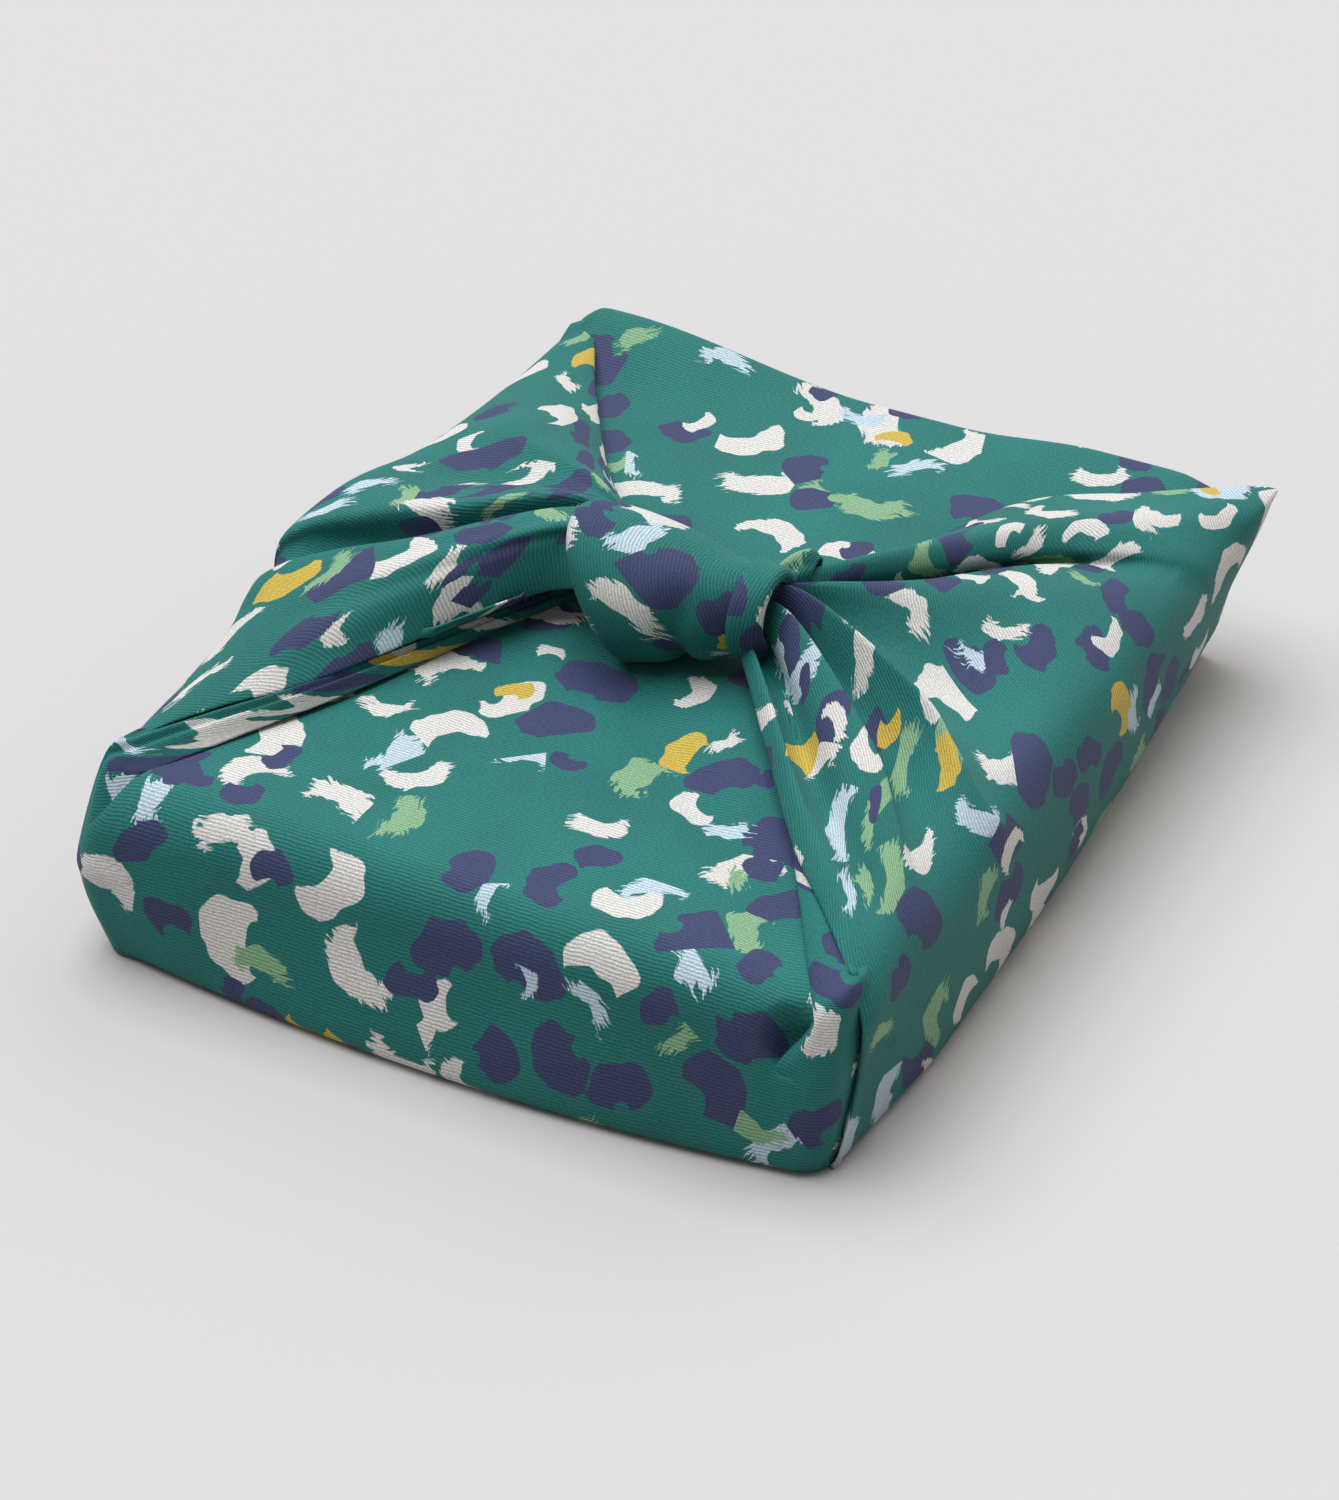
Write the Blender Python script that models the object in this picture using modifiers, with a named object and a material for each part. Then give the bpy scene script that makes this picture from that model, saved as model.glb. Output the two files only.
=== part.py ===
"""A flat box wrapped in a square furoshiki cloth, whose two gathers are tied in one knot on top.

Metres, +Z up. The origin is on the floor under the middle of the wrap. X runs from the left gather
to the right gather, Y from the near flap to the far flap. The tables are in millimetres (MM).
"""

from collections import namedtuple

import bmesh
import bpy
import numpy as np
from mathutils import Matrix

MM = 0.001

# Driving dimensions
WIDTH = 0.200            # left wall to right wall, at the rim
DEPTH = 0.250            # near wall to far wall, at the rim
PANEL_TOP = 0.0475       # top of the cloth on the flat panels
SHEET = 0.0015           # thickness of one layer of cloth
LAYER_GAP = 0.0006       # air between two layers
BOX_GAP = 0.0003         # air between the box and the cloth that it stands on
BOX_SIZE = (0.170, 0.216, 0.0412)
BOX_EDGE = 0.001

# The belt: one strip that goes under the box, up the near and far walls and over as two flaps
NEAR_FLAP_REACH = 0.006  # the near flap ends this far past the middle, under the knot
UPPER_FROM = 0.030       # from here on the far flap lies as high as the near flap
FAR_FLAP_Y = (-0.030, -0.012, NEAR_FLAP_REACH, 0.018, UPPER_FROM, 0.060, 0.092)
FAR_WALL_Z = (0.034, 0.024, 0.013)
FLOOR_STEPS = 6
NEAR_WALL_Z = (0.013, 0.021, 0.029)
NEAR_FLAP_Y = (-0.088, -0.064, -0.040, -0.016, NEAR_FLAP_REACH)
NEAR_RIM_RADIUS = 0.013
FAR_RIM_RADIUS = 0.005
FLOOR_RADIUS = 0.004
CORNER_RADIUS = 0.006
CORNER_WRAP = 0.012      # how far the walls of the belt go round the upright corners
WRAP_Z = 0.020           # the height where that wrap is whole
CORNER_FADE = 0.030      # the top and the floor are square again this far from the wall
LEAST_WRAP = 0.15        # the share of that wrap left at the foot and at the rim
BELT_INSET = 0.0040      # the belt's side edges lie this far inside the side walls
FLOOR_INSET = 0.0060     # and this far inside them on the floor
NEAR_BOW = 0.0090        # the foot of the near wall bows out by this in the middle
FAR_BOW = 0.0030         # and that of the far wall by this
BOW_TOP = 0.043          # the bows end at this height
FAR_PULL = 0.0080        # the feet of the far corners are drawn in by this
# The far rim stands up towards its left corner and, less, before its right corner. smoothstep
# limits in the belt's function place both humps along X.
LEFT_EAR = 0.0060
RIGHT_EAR = 0.0038
FLAP_DROP = 0.0020       # under the gathers the flaps' side edges lie lower by this

STRAIGHT_STEPS = 4       # faces from the middle of the belt to its upright corner
CORNER_STEPS = 3         # faces round that corner
RIM_STEPS = 3            # faces round each rim

# The side walls, seen from above: how far out their feet stand at five places along Y
Foot = namedtuple("Foot", "y left right")

FEET = (
    Foot(-125, 99, 96),
    Foot(-75, 101, 100),
    Foot(0, 100, 98),
    Foot(60, 98, 93.5),
    Foot(122, 93, 87),
)
RISE_POWER = 0.6         # under 1 the walls lean out mostly near the floor
WALL_BULGE = 0.0035      # the side walls bulge by this at half height
LEFT_CORNER_BULGE = 0.0065  # and the near left corner by this

# The gathers: a row for each fold line, in its order from the near edge to the far edge.
# foot: where it meets the floor. rim: where it crosses the rim. mid: halfway. neck: at the knot.
# turn: how far round the near corner it stands while it climbs the wall.
Fold = namedtuple("Fold", "turn foot_y rim_x rim_y rim_z mid_x mid_y mid_z neck_x neck_y neck_z")

LEFT_FOLDS = (
    Fold(0, -123, -102, -123, 47.5, -66, -72, 50.5, -35, -14, 52.0),    # near edge
    Fold(0, -112, -101, -118, 50.0, -69, -69, 55.0, -36, -12, 57.0),    # narrow lower roll
    Fold(0, -102, -99, -108, 50.0, -70, -62, 53.0, -36, -9, 60.0),     # crease under the band
    Fold(0, -84, -101, -86, 53.0, -68, -53, 62.0, -34, -8, 66.0),      # face of the band
    Fold(0, -58, -101, -60, 56.5, -68, -38, 68.5, -32, -3, 72.0),      # crest of the band
    Fold(0, -42, -102, -47, 61.0, -69, -24, 67.0, -34, 4, 71.0),       # lip at its back
    Fold(0, -34, -102, -39, 60.0, -70, -13, 57.0, -37, 9, 66.5),       # deep valley
    Fold(0, -22, -103, -31, 67.0, -72, 2, 66.0, -38, 13, 69.5),        # second ridge
    Fold(0, 4, -103, 0, 64.5, -76, 14, 62.5, -40, 18, 67.0),           # its long back
    Fold(0, 26, -101, 28, 58.5, -75, 26, 60.0, -41, 22, 63.5),         # soft valley
    Fold(0, 50, -101, 52, 55.0, -74, 42, 63.5, -43, 29, 64.5),         # third ridge
    Fold(0, 85, -101, 88, 51.5, -77, 68, 57.0, -45, 37, 59.0),         # far roll
    Fold(0, 115, -99, 129, 55.0, -74, 84, 51.5, -47, 44, 53.0),        # far edge
)

RIGHT_FOLDS = (
    Fold(5, -128, 91, -125.5, 46.0, 60, -75, 50.5, 30, -25, 53.0),       # near edge
    Fold(0, -121, 100, -120, 50.5, 62, -71, 56.0, 31, -21, 61.0),       # narrow near roll
    Fold(0, -106, 99, -111, 49.5, 65, -66, 52.0, 31, -15, 57.0),       # crease beside it
    Fold(0, -82, 98, -83, 52.0, 66, -44, 61.0, 34, -12, 66.0),         # first ridge
    Fold(0, -62, 99, -66, 50.0, 66, -31, 54.5, 35, -7, 60.0),          # hollow
    Fold(0, -28, 99, -45, 54.0, 70, -22, 66.0, 38, -1, 68.0),          # crisp ridge
    Fold(0, -6, 100, -20, 50.0, 68, 2, 52.5, 37, 5, 60.0),             # deep hollow
    Fold(0, 45, 99, 48, 51.5, 66, 31, 61.0, 36, 11, 65.0),             # broad roll
    Fold(0, 98, 99, 80, 50.0, 62, 56, 54.0, 34, 18, 60.0),             # sharp valley
    Fold(0, 108, 100, 104, 53.0, 60, 66, 60.5, 33, 24, 65.0),          # upper roll
    Fold(0, 110, 101, 116, 52.0, 54, 76, 57.0, 31, 29, 61.0),          # line to the far corner
    Fold(1, 117, 99, 129, 51.0, 46, 86, 51.5, 29, 33, 55.0),           # far edge
)

# Inside the knot the fold lines of a gather end side by side, with little of their height left
Root = namedtuple("Root", "x y z half_y")

LEFT_ROOT = Root(-13, -7.5, 64, 14.5)
RIGHT_ROOT = Root(11, -4.5, 63, 13)
ROOT_RELIEF = 0.12       # the share of the folds' height that is left there
FOOT_INSET = 0.0010      # the feet of the side walls turn in this far inside FEET
LIP_LIFT = 0.0004        # their lips lie this far above the floor
LIP_DEPTH = 0.0090       # and reach this far in, over the belt's side edges
LIP_Y_SHARE = 0.97       # their inner edges are this share as long
CLEAR_TOP = 0.0502       # over the panels no fold line lies lower than this
# Between the foot and the rim a fold line passes these heights, by when it has gone this share of
# the way along Y, and then its shoulder, which stands out a little and lies below the rim.
WALL_STATIONS = ((0.008, 0.10), (0.024, 0.50))
SHOULDER_OUT = 0.0015
SHOULDER_DROP = 0.0090
SHOULDER_SHARE = 0.25    # the share of that way which the shoulder still has to go
HALFWAY_RISE = 0.0010    # halfway between the rim and mid the fold lines arch up by this
INNER_RIM_SHARE = 0.14   # the next station is this share of the way from the rim to mid
FOLD_STEPS = 2           # faces between two fold lines
PATH_STEPS = 2           # faces between two stations of a fold line

# The knot: a row for each section of the bulb, of the collar round its right end and of the
# short tuft of cloth that stands out of the collar's far side
Section = namedtuple("Section", "x y z half_y half_z")

BULB = (
    Section(-31, -2, 62, 9, 9),
    Section(-28, -3, 63, 13, 13),
    Section(-21, -5, 64.5, 17, 16.5),
    Section(-11, -6, 65.5, 18.5, 17.5),
    Section(-1, -6, 65, 17.5, 17),
    Section(8, -5, 64, 15, 15.5),
    Section(14, -3, 63, 12.5, 13.5),
    Section(20, -1, 62, 10, 10),
)
COLLAR = (
    Section(14.0, -4, 63, 10, 10),
    Section(15.5, -4, 63, 14, 14.5),
    Section(19, -3, 63, 15.5, 15.5),
    Section(23, -2, 62.5, 15, 15),
    Section(26, -1, 62, 13, 13),
    Section(27, -1, 62, 8, 8),
)
TUFT = (
    Section(15, 6, 62, 3, 3),
    Section(17, 9, 65, 5.5, 4.5),
    Section(20, 12.5, 67.5, 6.5, 4.8),
    Section(24, 15.5, 69, 5, 3.8),
    Section(26.5, 17.5, 69, 2.5, 2.2),
)
RING_STEPS = 16
SECTION_STEPS = 2        # faces between two sections
REST_GAP = 0.0007        # air between the knot and the panel under it
REST_SOFTNESS = 0.0012   # how gently its underside turns flat

CLOTH_GREEN = (0.012, 0.130, 0.115, 1.0)
CARD_BROWN = (0.45, 0.32, 0.20, 1.0)


def clear_scene():
    for obj in list(bpy.data.objects):
        bpy.data.objects.remove(obj, do_unlink=True)


def make_collection(name):
    collection = bpy.data.collections.new(name)
    bpy.context.scene.collection.children.link(collection)
    return collection


def make_material(name, colour, roughness):
    material = bpy.data.materials.new(name)
    material.use_nodes = True
    shader = material.node_tree.nodes["Principled BSDF"]
    shader.inputs["Base Color"].default_value = colour
    shader.inputs["Roughness"].default_value = roughness
    shader.inputs["Metallic"].default_value = 0.0
    return material


def smoothstep(low, high, value):
    """3t^2 - 2t^3 of the value's place t between low and high."""
    t = np.clip((value - low) / (high - low), 0.0, 1.0)
    return t * t * (3.0 - 2.0 * t)


def curve_through(points, steps):
    """Catmull-Rom curve through points[0..n] along axis 0, with steps faces between neighbours.

    Its tangents are half the step from the point before to the point after.
    """
    points = np.asarray(points, float)
    before = np.concatenate([2 * points[:1] - points[1:2], points[:-1]])
    after = np.concatenate([points[1:], 2 * points[-1:] - points[-2:-1]])
    tangent = (after - before) / 2.0
    t = (np.arange(steps) / steps).reshape((1, steps) + (1,) * (points.ndim - 1))
    start, end = points[:-1, None], points[1:, None]
    leave, arrive = tangent[:-1, None], tangent[1:, None]
    inner = (
        (2 * t**3 - 3 * t**2 + 1) * start
        + (t**3 - 2 * t**2 + t) * leave
        + (3 * t**2 - 2 * t**3) * end
        + (t**3 - t**2) * arrive
    )
    return np.concatenate([inner.reshape((-1,) + points.shape[1:]), points[-1:]])


def mesh_from_grid(name, grid):
    """An open sheet of quads on a grid of points. Its front is where columns cross rows points."""
    rows, columns = grid.shape[:2]
    index = np.arange(rows * columns).reshape(rows, columns)
    quads = np.stack([index[:-1, :-1], index[:-1, 1:], index[1:, 1:], index[1:, :-1]], -1)
    mesh = bpy.data.meshes.new(name)
    mesh.from_pydata(grid.reshape(-1, 3).tolist(), [], quads.reshape(-1, 4).tolist())
    mesh.update()
    return mesh


def make_sheet(name, grid, collection):
    """The grid as cloth: Solidify gives it its thickness on the inner side."""
    obj = bpy.data.objects.new(name, mesh_from_grid(name, grid))
    collection.objects.link(obj)
    wall = obj.modifiers.new("thickness", "SOLIDIFY")
    wall.thickness = SHEET
    wall.offset = -1.0
    wall.use_even_offset = False
    return obj


def belt_profile():
    """The belt's middle line in the Y-Z plane, from the far flap's end round to the near flap's end.

    Returns y, z and how flat each point lies: 0 on a wall, 1 on the top or the floor.
    """
    near, far = -DEPTH / 2, DEPTH / 2
    quarter = np.linspace(0.0, np.pi / 2, RIM_STEPS + 1)
    flat = smoothstep(0.0, np.pi / 2, quarter)
    lower = PANEL_TOP - SHEET - LAYER_GAP
    far_y = np.array(FAR_FLAP_Y)
    far_z = lower + (PANEL_TOP - lower) * smoothstep(NEAR_FLAP_REACH, UPPER_FROM, far_y)
    far_wall = np.array(FAR_WALL_Z)
    near_wall = np.array(NEAR_WALL_Z)
    floor_y = np.linspace(far - FLOOR_RADIUS, near + FLOOR_RADIUS, FLOOR_STEPS + 1)[1:-1]
    near_y = np.array(NEAR_FLAP_Y)
    turned, risen = 1 - np.cos(quarter), 1 - np.sin(quarter)
    runs = (
        (far_y, far_z, 1.0),
        (far - FAR_RIM_RADIUS * risen, PANEL_TOP - FAR_RIM_RADIUS * turned, flat[::-1]),
        (far, far_wall, 0.0),
        (far - FLOOR_RADIUS * turned, FLOOR_RADIUS * risen, flat),
        (floor_y, 0.0, 1.0),
        (near + FLOOR_RADIUS * risen, FLOOR_RADIUS * turned, flat[::-1]),
        (near, near_wall, 0.0),
        (near + NEAR_RIM_RADIUS * turned, PANEL_TOP - NEAR_RIM_RADIUS * risen, flat),
        (near_y, PANEL_TOP, 1.0),
    )
    joined = [np.stack(np.broadcast_arrays(*run), -1).astype(float) for run in runs]
    return np.concatenate(joined).T


def belt_grid():
    """The belt as a grid: its profile carried across X.

    On a wall the line across goes round both upright corners: x runs straight, then on an arc of
    CORNER_RADIUS, then stays while the point moves in by up to CORNER_WRAP. On the top and the
    floor the line is straight, and the rims blend the two by how flat the profile lies there.
    """
    y, z, flat = (part[:, None] for part in belt_profile())
    straight = WIDTH / 2 - BELT_INSET - CORNER_RADIUS
    arc = CORNER_RADIUS * np.pi / 2
    across = np.linspace(0.0, straight, STRAIGHT_STEPS + 1)[:-1]
    round_corner = straight + np.linspace(0.0, arc, CORNER_STEPS + 1)
    half_run = np.concatenate([across, round_corner, [straight + arc + CORNER_WRAP]])
    signed_run = np.concatenate([-half_run[:0:-1], half_run])[None]
    side, run = np.sign(signed_run), np.abs(signed_run)
    past_corner = np.clip((run - straight) / (half_run[-1] - straight), 0.0, 1.0)
    angle = np.clip((run - straight) / CORNER_RADIUS, 0.0, np.pi / 2)
    wall_x_shape = np.minimum(run, straight) + CORNER_RADIUS * np.sin(angle)
    rim_radius = np.where(y < 0, NEAR_RIM_RADIUS, FAR_RIM_RADIUS)
    mid_wall = smoothstep(0.0, WRAP_Z, z) * (1.0 - smoothstep(WRAP_Z, PANEL_TOP - rim_radius, z))
    wrap = np.clip(run - straight - arc, 0.0, None) * (LEAST_WRAP + (1.0 - LEAST_WRAP) * mid_wall)
    wall_in = CORNER_RADIUS * (1 - np.cos(angle)) + wrap
    wall_half = wall_x(z, y, side) - BELT_INSET
    spread = wall_half / (straight + CORNER_RADIUS)
    floor_half = wall_x(0.0, y, side) - FLOOR_INSET
    flat_half = np.where(z < PANEL_TOP / 2, floor_half, WIDTH / 2 - BELT_INSET)
    flat_straight = np.minimum(straight * spread, flat_half - FLOOR_RADIUS)
    flat_x = np.minimum(run / straight, 1.0) * flat_straight
    flat_x = flat_x + past_corner * (flat_half - flat_straight)
    x = side * (wall_x_shape * spread * (1 - flat) + flat_x * flat)
    inward = wall_in * (1.0 - smoothstep(FLOOR_RADIUS, CORNER_FADE, DEPTH / 2 - np.abs(y)))
    centre = 1.0 - (x / (WIDTH / 2)) ** 2
    foot = 1.0 - smoothstep(0.0, BOW_TOP, z)
    near_side = smoothstep(0.0, DEPTH / 2, -y)
    far_side = smoothstep(0.0, DEPTH / 2, y)
    half_height = np.sin(np.pi * np.clip(z / PANEL_TOP, 0.0, 1.0))
    left_corner = LEFT_CORNER_BULGE / 2 * smoothstep(0.05, 0.10, -x) * half_height
    near_shift = NEAR_BOW * centre * foot + left_corner
    far_shift = FAR_PULL * foot * (1 - centre) - FAR_BOW * centre * foot
    y = y - np.sign(y) * inward - near_side * near_shift - far_side * far_shift
    left_ear = LEFT_EAR * smoothstep(0.025, 0.085, -x)
    right_ear = RIGHT_EAR * smoothstep(0.015, 0.055, x) * (1.0 - smoothstep(0.070, 0.090, x))
    drop = FLAP_DROP * smoothstep(0.089, 0.097, np.abs(x))
    lift = (left_ear + right_ear) * smoothstep(0.090, DEPTH / 2, y) - drop
    z = z + lift * smoothstep(0.020, PANEL_TOP, z)
    return np.stack(np.broadcast_arrays(x, y, z), -1)


def wall_x(height, y, side):
    """How far out a side wall stands: from its foot in FEET out to the rim, bulged at half height."""
    feet = np.array(FEET, float) * MM
    left_foot = np.interp(y, feet[:, 0], feet[:, 1])
    right_foot = np.interp(y, feet[:, 0], feet[:, 2])
    rise = np.clip(height / PANEL_TOP, 0.0, 1.0)
    near_left = smoothstep(-0.06, -DEPTH / 2, y)
    left_bulge = WALL_BULGE + (LEFT_CORNER_BULGE - WALL_BULGE) * near_left
    right_bulge = WALL_BULGE * (1 - (y / (DEPTH / 2)) ** 2)
    foot = np.where(np.asarray(side) < 0, left_foot, right_foot)
    bulge = np.where(np.asarray(side) < 0, left_bulge, right_bulge)
    return foot + (WIDTH / 2 - foot) * rise**RISE_POWER + bulge * np.sin(np.pi * rise)


def gather_grid(folds, root, side):
    """A gather with its wall: each fold line runs from under the box up the wall, over the rim and
    into the knot, and the cloth is the curve through the fold lines at each station."""
    table = np.array(folds, float) * MM
    turn, foot_y = table[:, 0], table[:, 1]
    rim, mid, neck = table[:, 2:5], table[:, 5:8], table[:, 8:11]
    foot_x = wall_x(0.0, foot_y, side) - FOOT_INSET - turn
    floor_z = np.full_like(foot_y, LIP_LIFT)
    stations = [
        np.stack([side * (foot_x - LIP_DEPTH), LIP_Y_SHARE * foot_y, floor_z], -1),
        np.stack([side * foot_x, foot_y, floor_z], -1),
    ]
    for height, share in WALL_STATIONS:
        y = foot_y + (rim[:, 1] - foot_y) * share
        stations.append(np.stack([side * (wall_x(height, y, side) - turn), y, np.full_like(y, height)], -1))
    shoulder = rim.copy()
    on_side_wall = np.abs(rim[:, 0]) > WIDTH / 2 - CORNER_RADIUS
    wall = wall_x(PANEL_TOP - SHOULDER_DROP, rim[:, 1], side) * on_side_wall
    shoulder[:, 0] = side * np.maximum(np.abs(rim[:, 0]) + SHOULDER_OUT, wall)
    shoulder[:, 1] += SHOULDER_SHARE * (foot_y - rim[:, 1])
    shoulder[:, 2] = rim[:, 2] - SHOULDER_DROP
    stations.append(shoulder)
    inner_rim = rim + (mid - rim) * INNER_RIM_SHARE
    inner_rim[:, 2] = np.maximum(rim[:, 2], CLEAR_TOP)
    stations.append(inner_rim)
    halfway = (rim + mid) / 2
    halfway[:, 2] = np.maximum(halfway[:, 2] + HALFWAY_RISE, CLEAR_TOP)
    stations.append(halfway)
    stations.append(mid)
    stations.append(neck)
    root_x, root_y, root_z, half_y = np.array(root, float) * MM
    y = root_y + half_y * np.linspace(-1.0, 1.0, len(neck))
    z = root_z + (neck[:, 2] - root_z) * ROOT_RELIEF
    stations.append(np.stack([np.full_like(y, root_x), y, z], -1))
    # First along the fold lines, then across them
    lines = curve_through(np.array(stations), PATH_STEPS)
    grid = curve_through(lines.transpose(1, 0, 2), FOLD_STEPS)
    grid[..., 2] = np.maximum(grid[..., 2], LIP_LIFT)
    return grid if side < 0 else grid[::-1]


def make_lump(name, sections, collection):
    """A closed form through upright oval sections, with a pole at each end.

    A ring point that would lie under the lowest height is lifted to it, along the soft maximum
    s * log(1 + exp(z / s)), so that the form rests on a rounded flat.
    """
    table = np.array(sections, float) * MM
    rings = curve_through(table, SECTION_STEPS)
    angle = np.linspace(0.0, 2 * np.pi, RING_STEPS, endpoint=False)
    x, y, z, half_y, half_z = (rings[:, i, None] for i in range(5))
    ring_y = y + half_y * np.cos(angle)
    ring_z = z + half_z * np.sin(angle)
    lowest = PANEL_TOP + REST_GAP
    ring_z = lowest + np.logaddexp(0.0, (ring_z - lowest) / REST_SOFTNESS) * REST_SOFTNESS
    grid = np.stack(np.broadcast_arrays(x, ring_y, ring_z), -1)
    mesh = bpy.data.meshes.new(name)
    shape = bmesh.new()
    loops = [[shape.verts.new(point) for point in ring] for ring in grid]
    for first, second in zip(loops[:-1], loops[1:]):
        for i in range(RING_STEPS):
            j = (i + 1) % RING_STEPS
            shape.faces.new((first[i], first[j], second[j], second[i]))
    for loop in (loops[0], loops[-1]):
        middle = np.mean([vertex.co for vertex in loop], axis=0)
        pole = shape.verts.new(middle)
        for i in range(RING_STEPS):
            shape.faces.new((loop[i], loop[(i + 1) % RING_STEPS], pole))
    bmesh.ops.recalc_face_normals(shape, faces=shape.faces)
    shape.to_mesh(mesh)
    shape.free()
    obj = bpy.data.objects.new(name, mesh)
    collection.objects.link(obj)
    return obj


def freeze(obj, name, collection):
    """The object as its modifiers leave it, as a plain mesh object."""
    graph = bpy.context.evaluated_depsgraph_get()
    mesh = bpy.data.meshes.new_from_object(obj.evaluated_get(graph))
    frozen = bpy.data.objects.new(name, mesh)
    collection.objects.link(frozen)
    return frozen


def make_cloth(collection, guides):
    belt = make_sheet("belt", belt_grid(), guides)
    others = [
        make_sheet("left_gather", gather_grid(LEFT_FOLDS, LEFT_ROOT, -1), guides),
        make_sheet("right_gather", gather_grid(RIGHT_FOLDS, RIGHT_ROOT, 1), guides),
        make_lump("bulb", BULB, guides),
        make_lump("collar", COLLAR, guides),
        make_lump("tuft", TUFT, guides),
    ]
    bpy.context.view_layer.update()
    cloth = freeze(belt, "cloth", collection)
    joined = make_collection("joined to the belt")
    for other in others:
        freeze(other, other.name + "_solid", joined)
    union = cloth.modifiers.new("join", "BOOLEAN")
    union.operation = "UNION"
    union.solver = "EXACT"
    union.use_self = True
    union.operand_type = "COLLECTION"
    union.collection = joined
    for helper in list(guides.objects) + list(joined.objects):
        helper.hide_render = True
        helper.display_type = "WIRE"
    cloth.data.materials.clear()
    cloth.data.materials.append(make_material("printed green cotton", CLOTH_GREEN, 0.75))
    return cloth


def make_box(collection):
    bpy.ops.mesh.primitive_cube_add(size=1.0)
    box = bpy.context.object
    box.name = "box"
    box.data.transform(Matrix.Diagonal((*BOX_SIZE, 1.0)))
    box.location.z = LIP_LIFT + SHEET + BOX_GAP + BOX_SIZE[2] / 2
    for owner in list(box.users_collection):
        owner.objects.unlink(box)
    collection.objects.link(box)
    edges = box.modifiers.new("edges", "BEVEL")
    edges.width = BOX_EDGE
    edges.segments = 2
    box.data.materials.append(make_material("brown card", CARD_BROWN, 0.85))
    return box


def main():
    clear_scene()
    collection = make_collection("furoshiki wrap")
    guides = make_collection("guides")
    make_cloth(collection, guides)
    make_box(collection)


main()
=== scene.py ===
"""Looks of a printed cotton cloth folded round a flat box and tied in one knot on top.

Metres, +Z up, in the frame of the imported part. X runs from the left gather to the right gather, Y from
the near flap to the far flap. The fold tables are in millimetres (MM), as the cloth was laid out.
"""

from collections import namedtuple

import bpy
import numpy as np
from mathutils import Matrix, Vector


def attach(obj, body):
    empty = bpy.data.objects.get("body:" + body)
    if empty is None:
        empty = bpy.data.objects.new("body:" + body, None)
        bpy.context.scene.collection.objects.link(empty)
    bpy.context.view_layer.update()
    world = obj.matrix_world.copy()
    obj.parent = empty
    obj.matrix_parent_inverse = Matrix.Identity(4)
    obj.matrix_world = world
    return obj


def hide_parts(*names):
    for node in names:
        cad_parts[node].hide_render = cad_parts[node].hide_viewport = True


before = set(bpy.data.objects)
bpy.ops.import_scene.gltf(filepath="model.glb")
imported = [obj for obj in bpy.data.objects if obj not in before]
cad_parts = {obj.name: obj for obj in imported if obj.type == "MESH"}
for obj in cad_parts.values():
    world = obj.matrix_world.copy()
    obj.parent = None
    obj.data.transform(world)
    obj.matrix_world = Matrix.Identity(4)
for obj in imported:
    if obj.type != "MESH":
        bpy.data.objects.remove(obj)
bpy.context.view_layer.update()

MM = 0.001

# The wrap's own sizes
WIDTH = 0.200
DEPTH = 0.250
PANEL_TOP = 0.0475
CLOTH_THICK = 0.0006

# The camera
IMAGE_HEIGHT = 1500
FOCAL_PIXELS = 5000.0
CAMERA_TARGET = Vector((-0.002, -0.0125, 0.020))
CAMERA_DISTANCE = 1.25
CAMERA_TURN = np.radians(27.4)
CAMERA_TILT = np.radians(34.6)
SENSOR = 36.0

# The belt: the strip under the box, up the near and far walls and over as two flaps
NEAR_FLAP_REACH = 0.006
FAR_FLAP_REACH = -0.024
UPPER_FROM = 0.030
LAYER_GAP = 0.0012
NEAR_RIM_RADIUS = 0.013
FAR_RIM_RADIUS = 0.005
FLOOR_RADIUS = 0.004
CORNER_RADIUS = 0.006
CORNER_WRAP = 0.012
WRAP_Z = 0.020
CORNER_FADE = 0.030
LEAST_WRAP = 0.15
BELT_INSET = 0.0022
FLOOR_INSET = 0.0050
NEAR_BOW = 0.0090
FAR_BOW = 0.0030
BOW_TOP = 0.043
FAR_PULL = 0.0080
LEFT_EAR = 0.0088
RIGHT_EAR = 0.0038
FLAP_DROP = 0.0010
# Where along X each ear rises, where the right one ends, and where the flaps' side edges drop
LEFT_EAR_RISE = (0.010, 0.085)
RIGHT_EAR_RISE = (0.015, 0.055)
RIGHT_EAR_END = (0.076, 0.094)
FLAP_DROP_RUN = (0.089, 0.097)
EAR_FROM_Y = 0.090
ON_TOP_FROM = 0.020      # from this height up to the rim a point counts more and more as on the top
STRAIGHT_STEPS = 20
FINE_FROM = 0.079        # from here to the upright corner the belt's grid is finer
FINE_STEPS = 12
CORNER_STEPS = 6
WRAP_STEPS = 3
RIM_STEPS = 9
FAR_FLAP_POINTS = 46
NEAR_FLAP_POINTS = 41
WALL_POINTS = 11
FLOOR_POINTS = 21
NEAR_RIM_STEPS = 18

Foot = namedtuple("Foot", "y left right")
FEET = (
    Foot(-125, 99, 96),
    Foot(-75, 101, 100),
    Foot(0, 100, 98),
    Foot(60, 98, 93.5),
    Foot(122, 93, 87),
)
RISE_POWER = 0.6
WALL_BULGE = 0.0035
LEFT_CORNER_BULGE = 0.0065

# Where the print starts on the belt: a turn in degrees and a shift
BELT_PRINT = (0.0, (0.64, 0.93))
BELT_FLOOR_RUN = 0.44    # the belt's length from its far end to the foot of the near wall

# The pocket in the near rim beside the right corner. place is y + z at its middle.
Pocket = namedtuple("Pocket", "x place half_x half_run depth")
POCKET_SINK = (0.6, 0.8)  # shares of its depth along Y and down
POCKET_Y = -0.090        # it lies nearer than this
POCKET_Z = 0.015         # and over this
POCKET = Pocket(0.0865, -0.0865, 0.0064, 0.0086, 0.0092)

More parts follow.
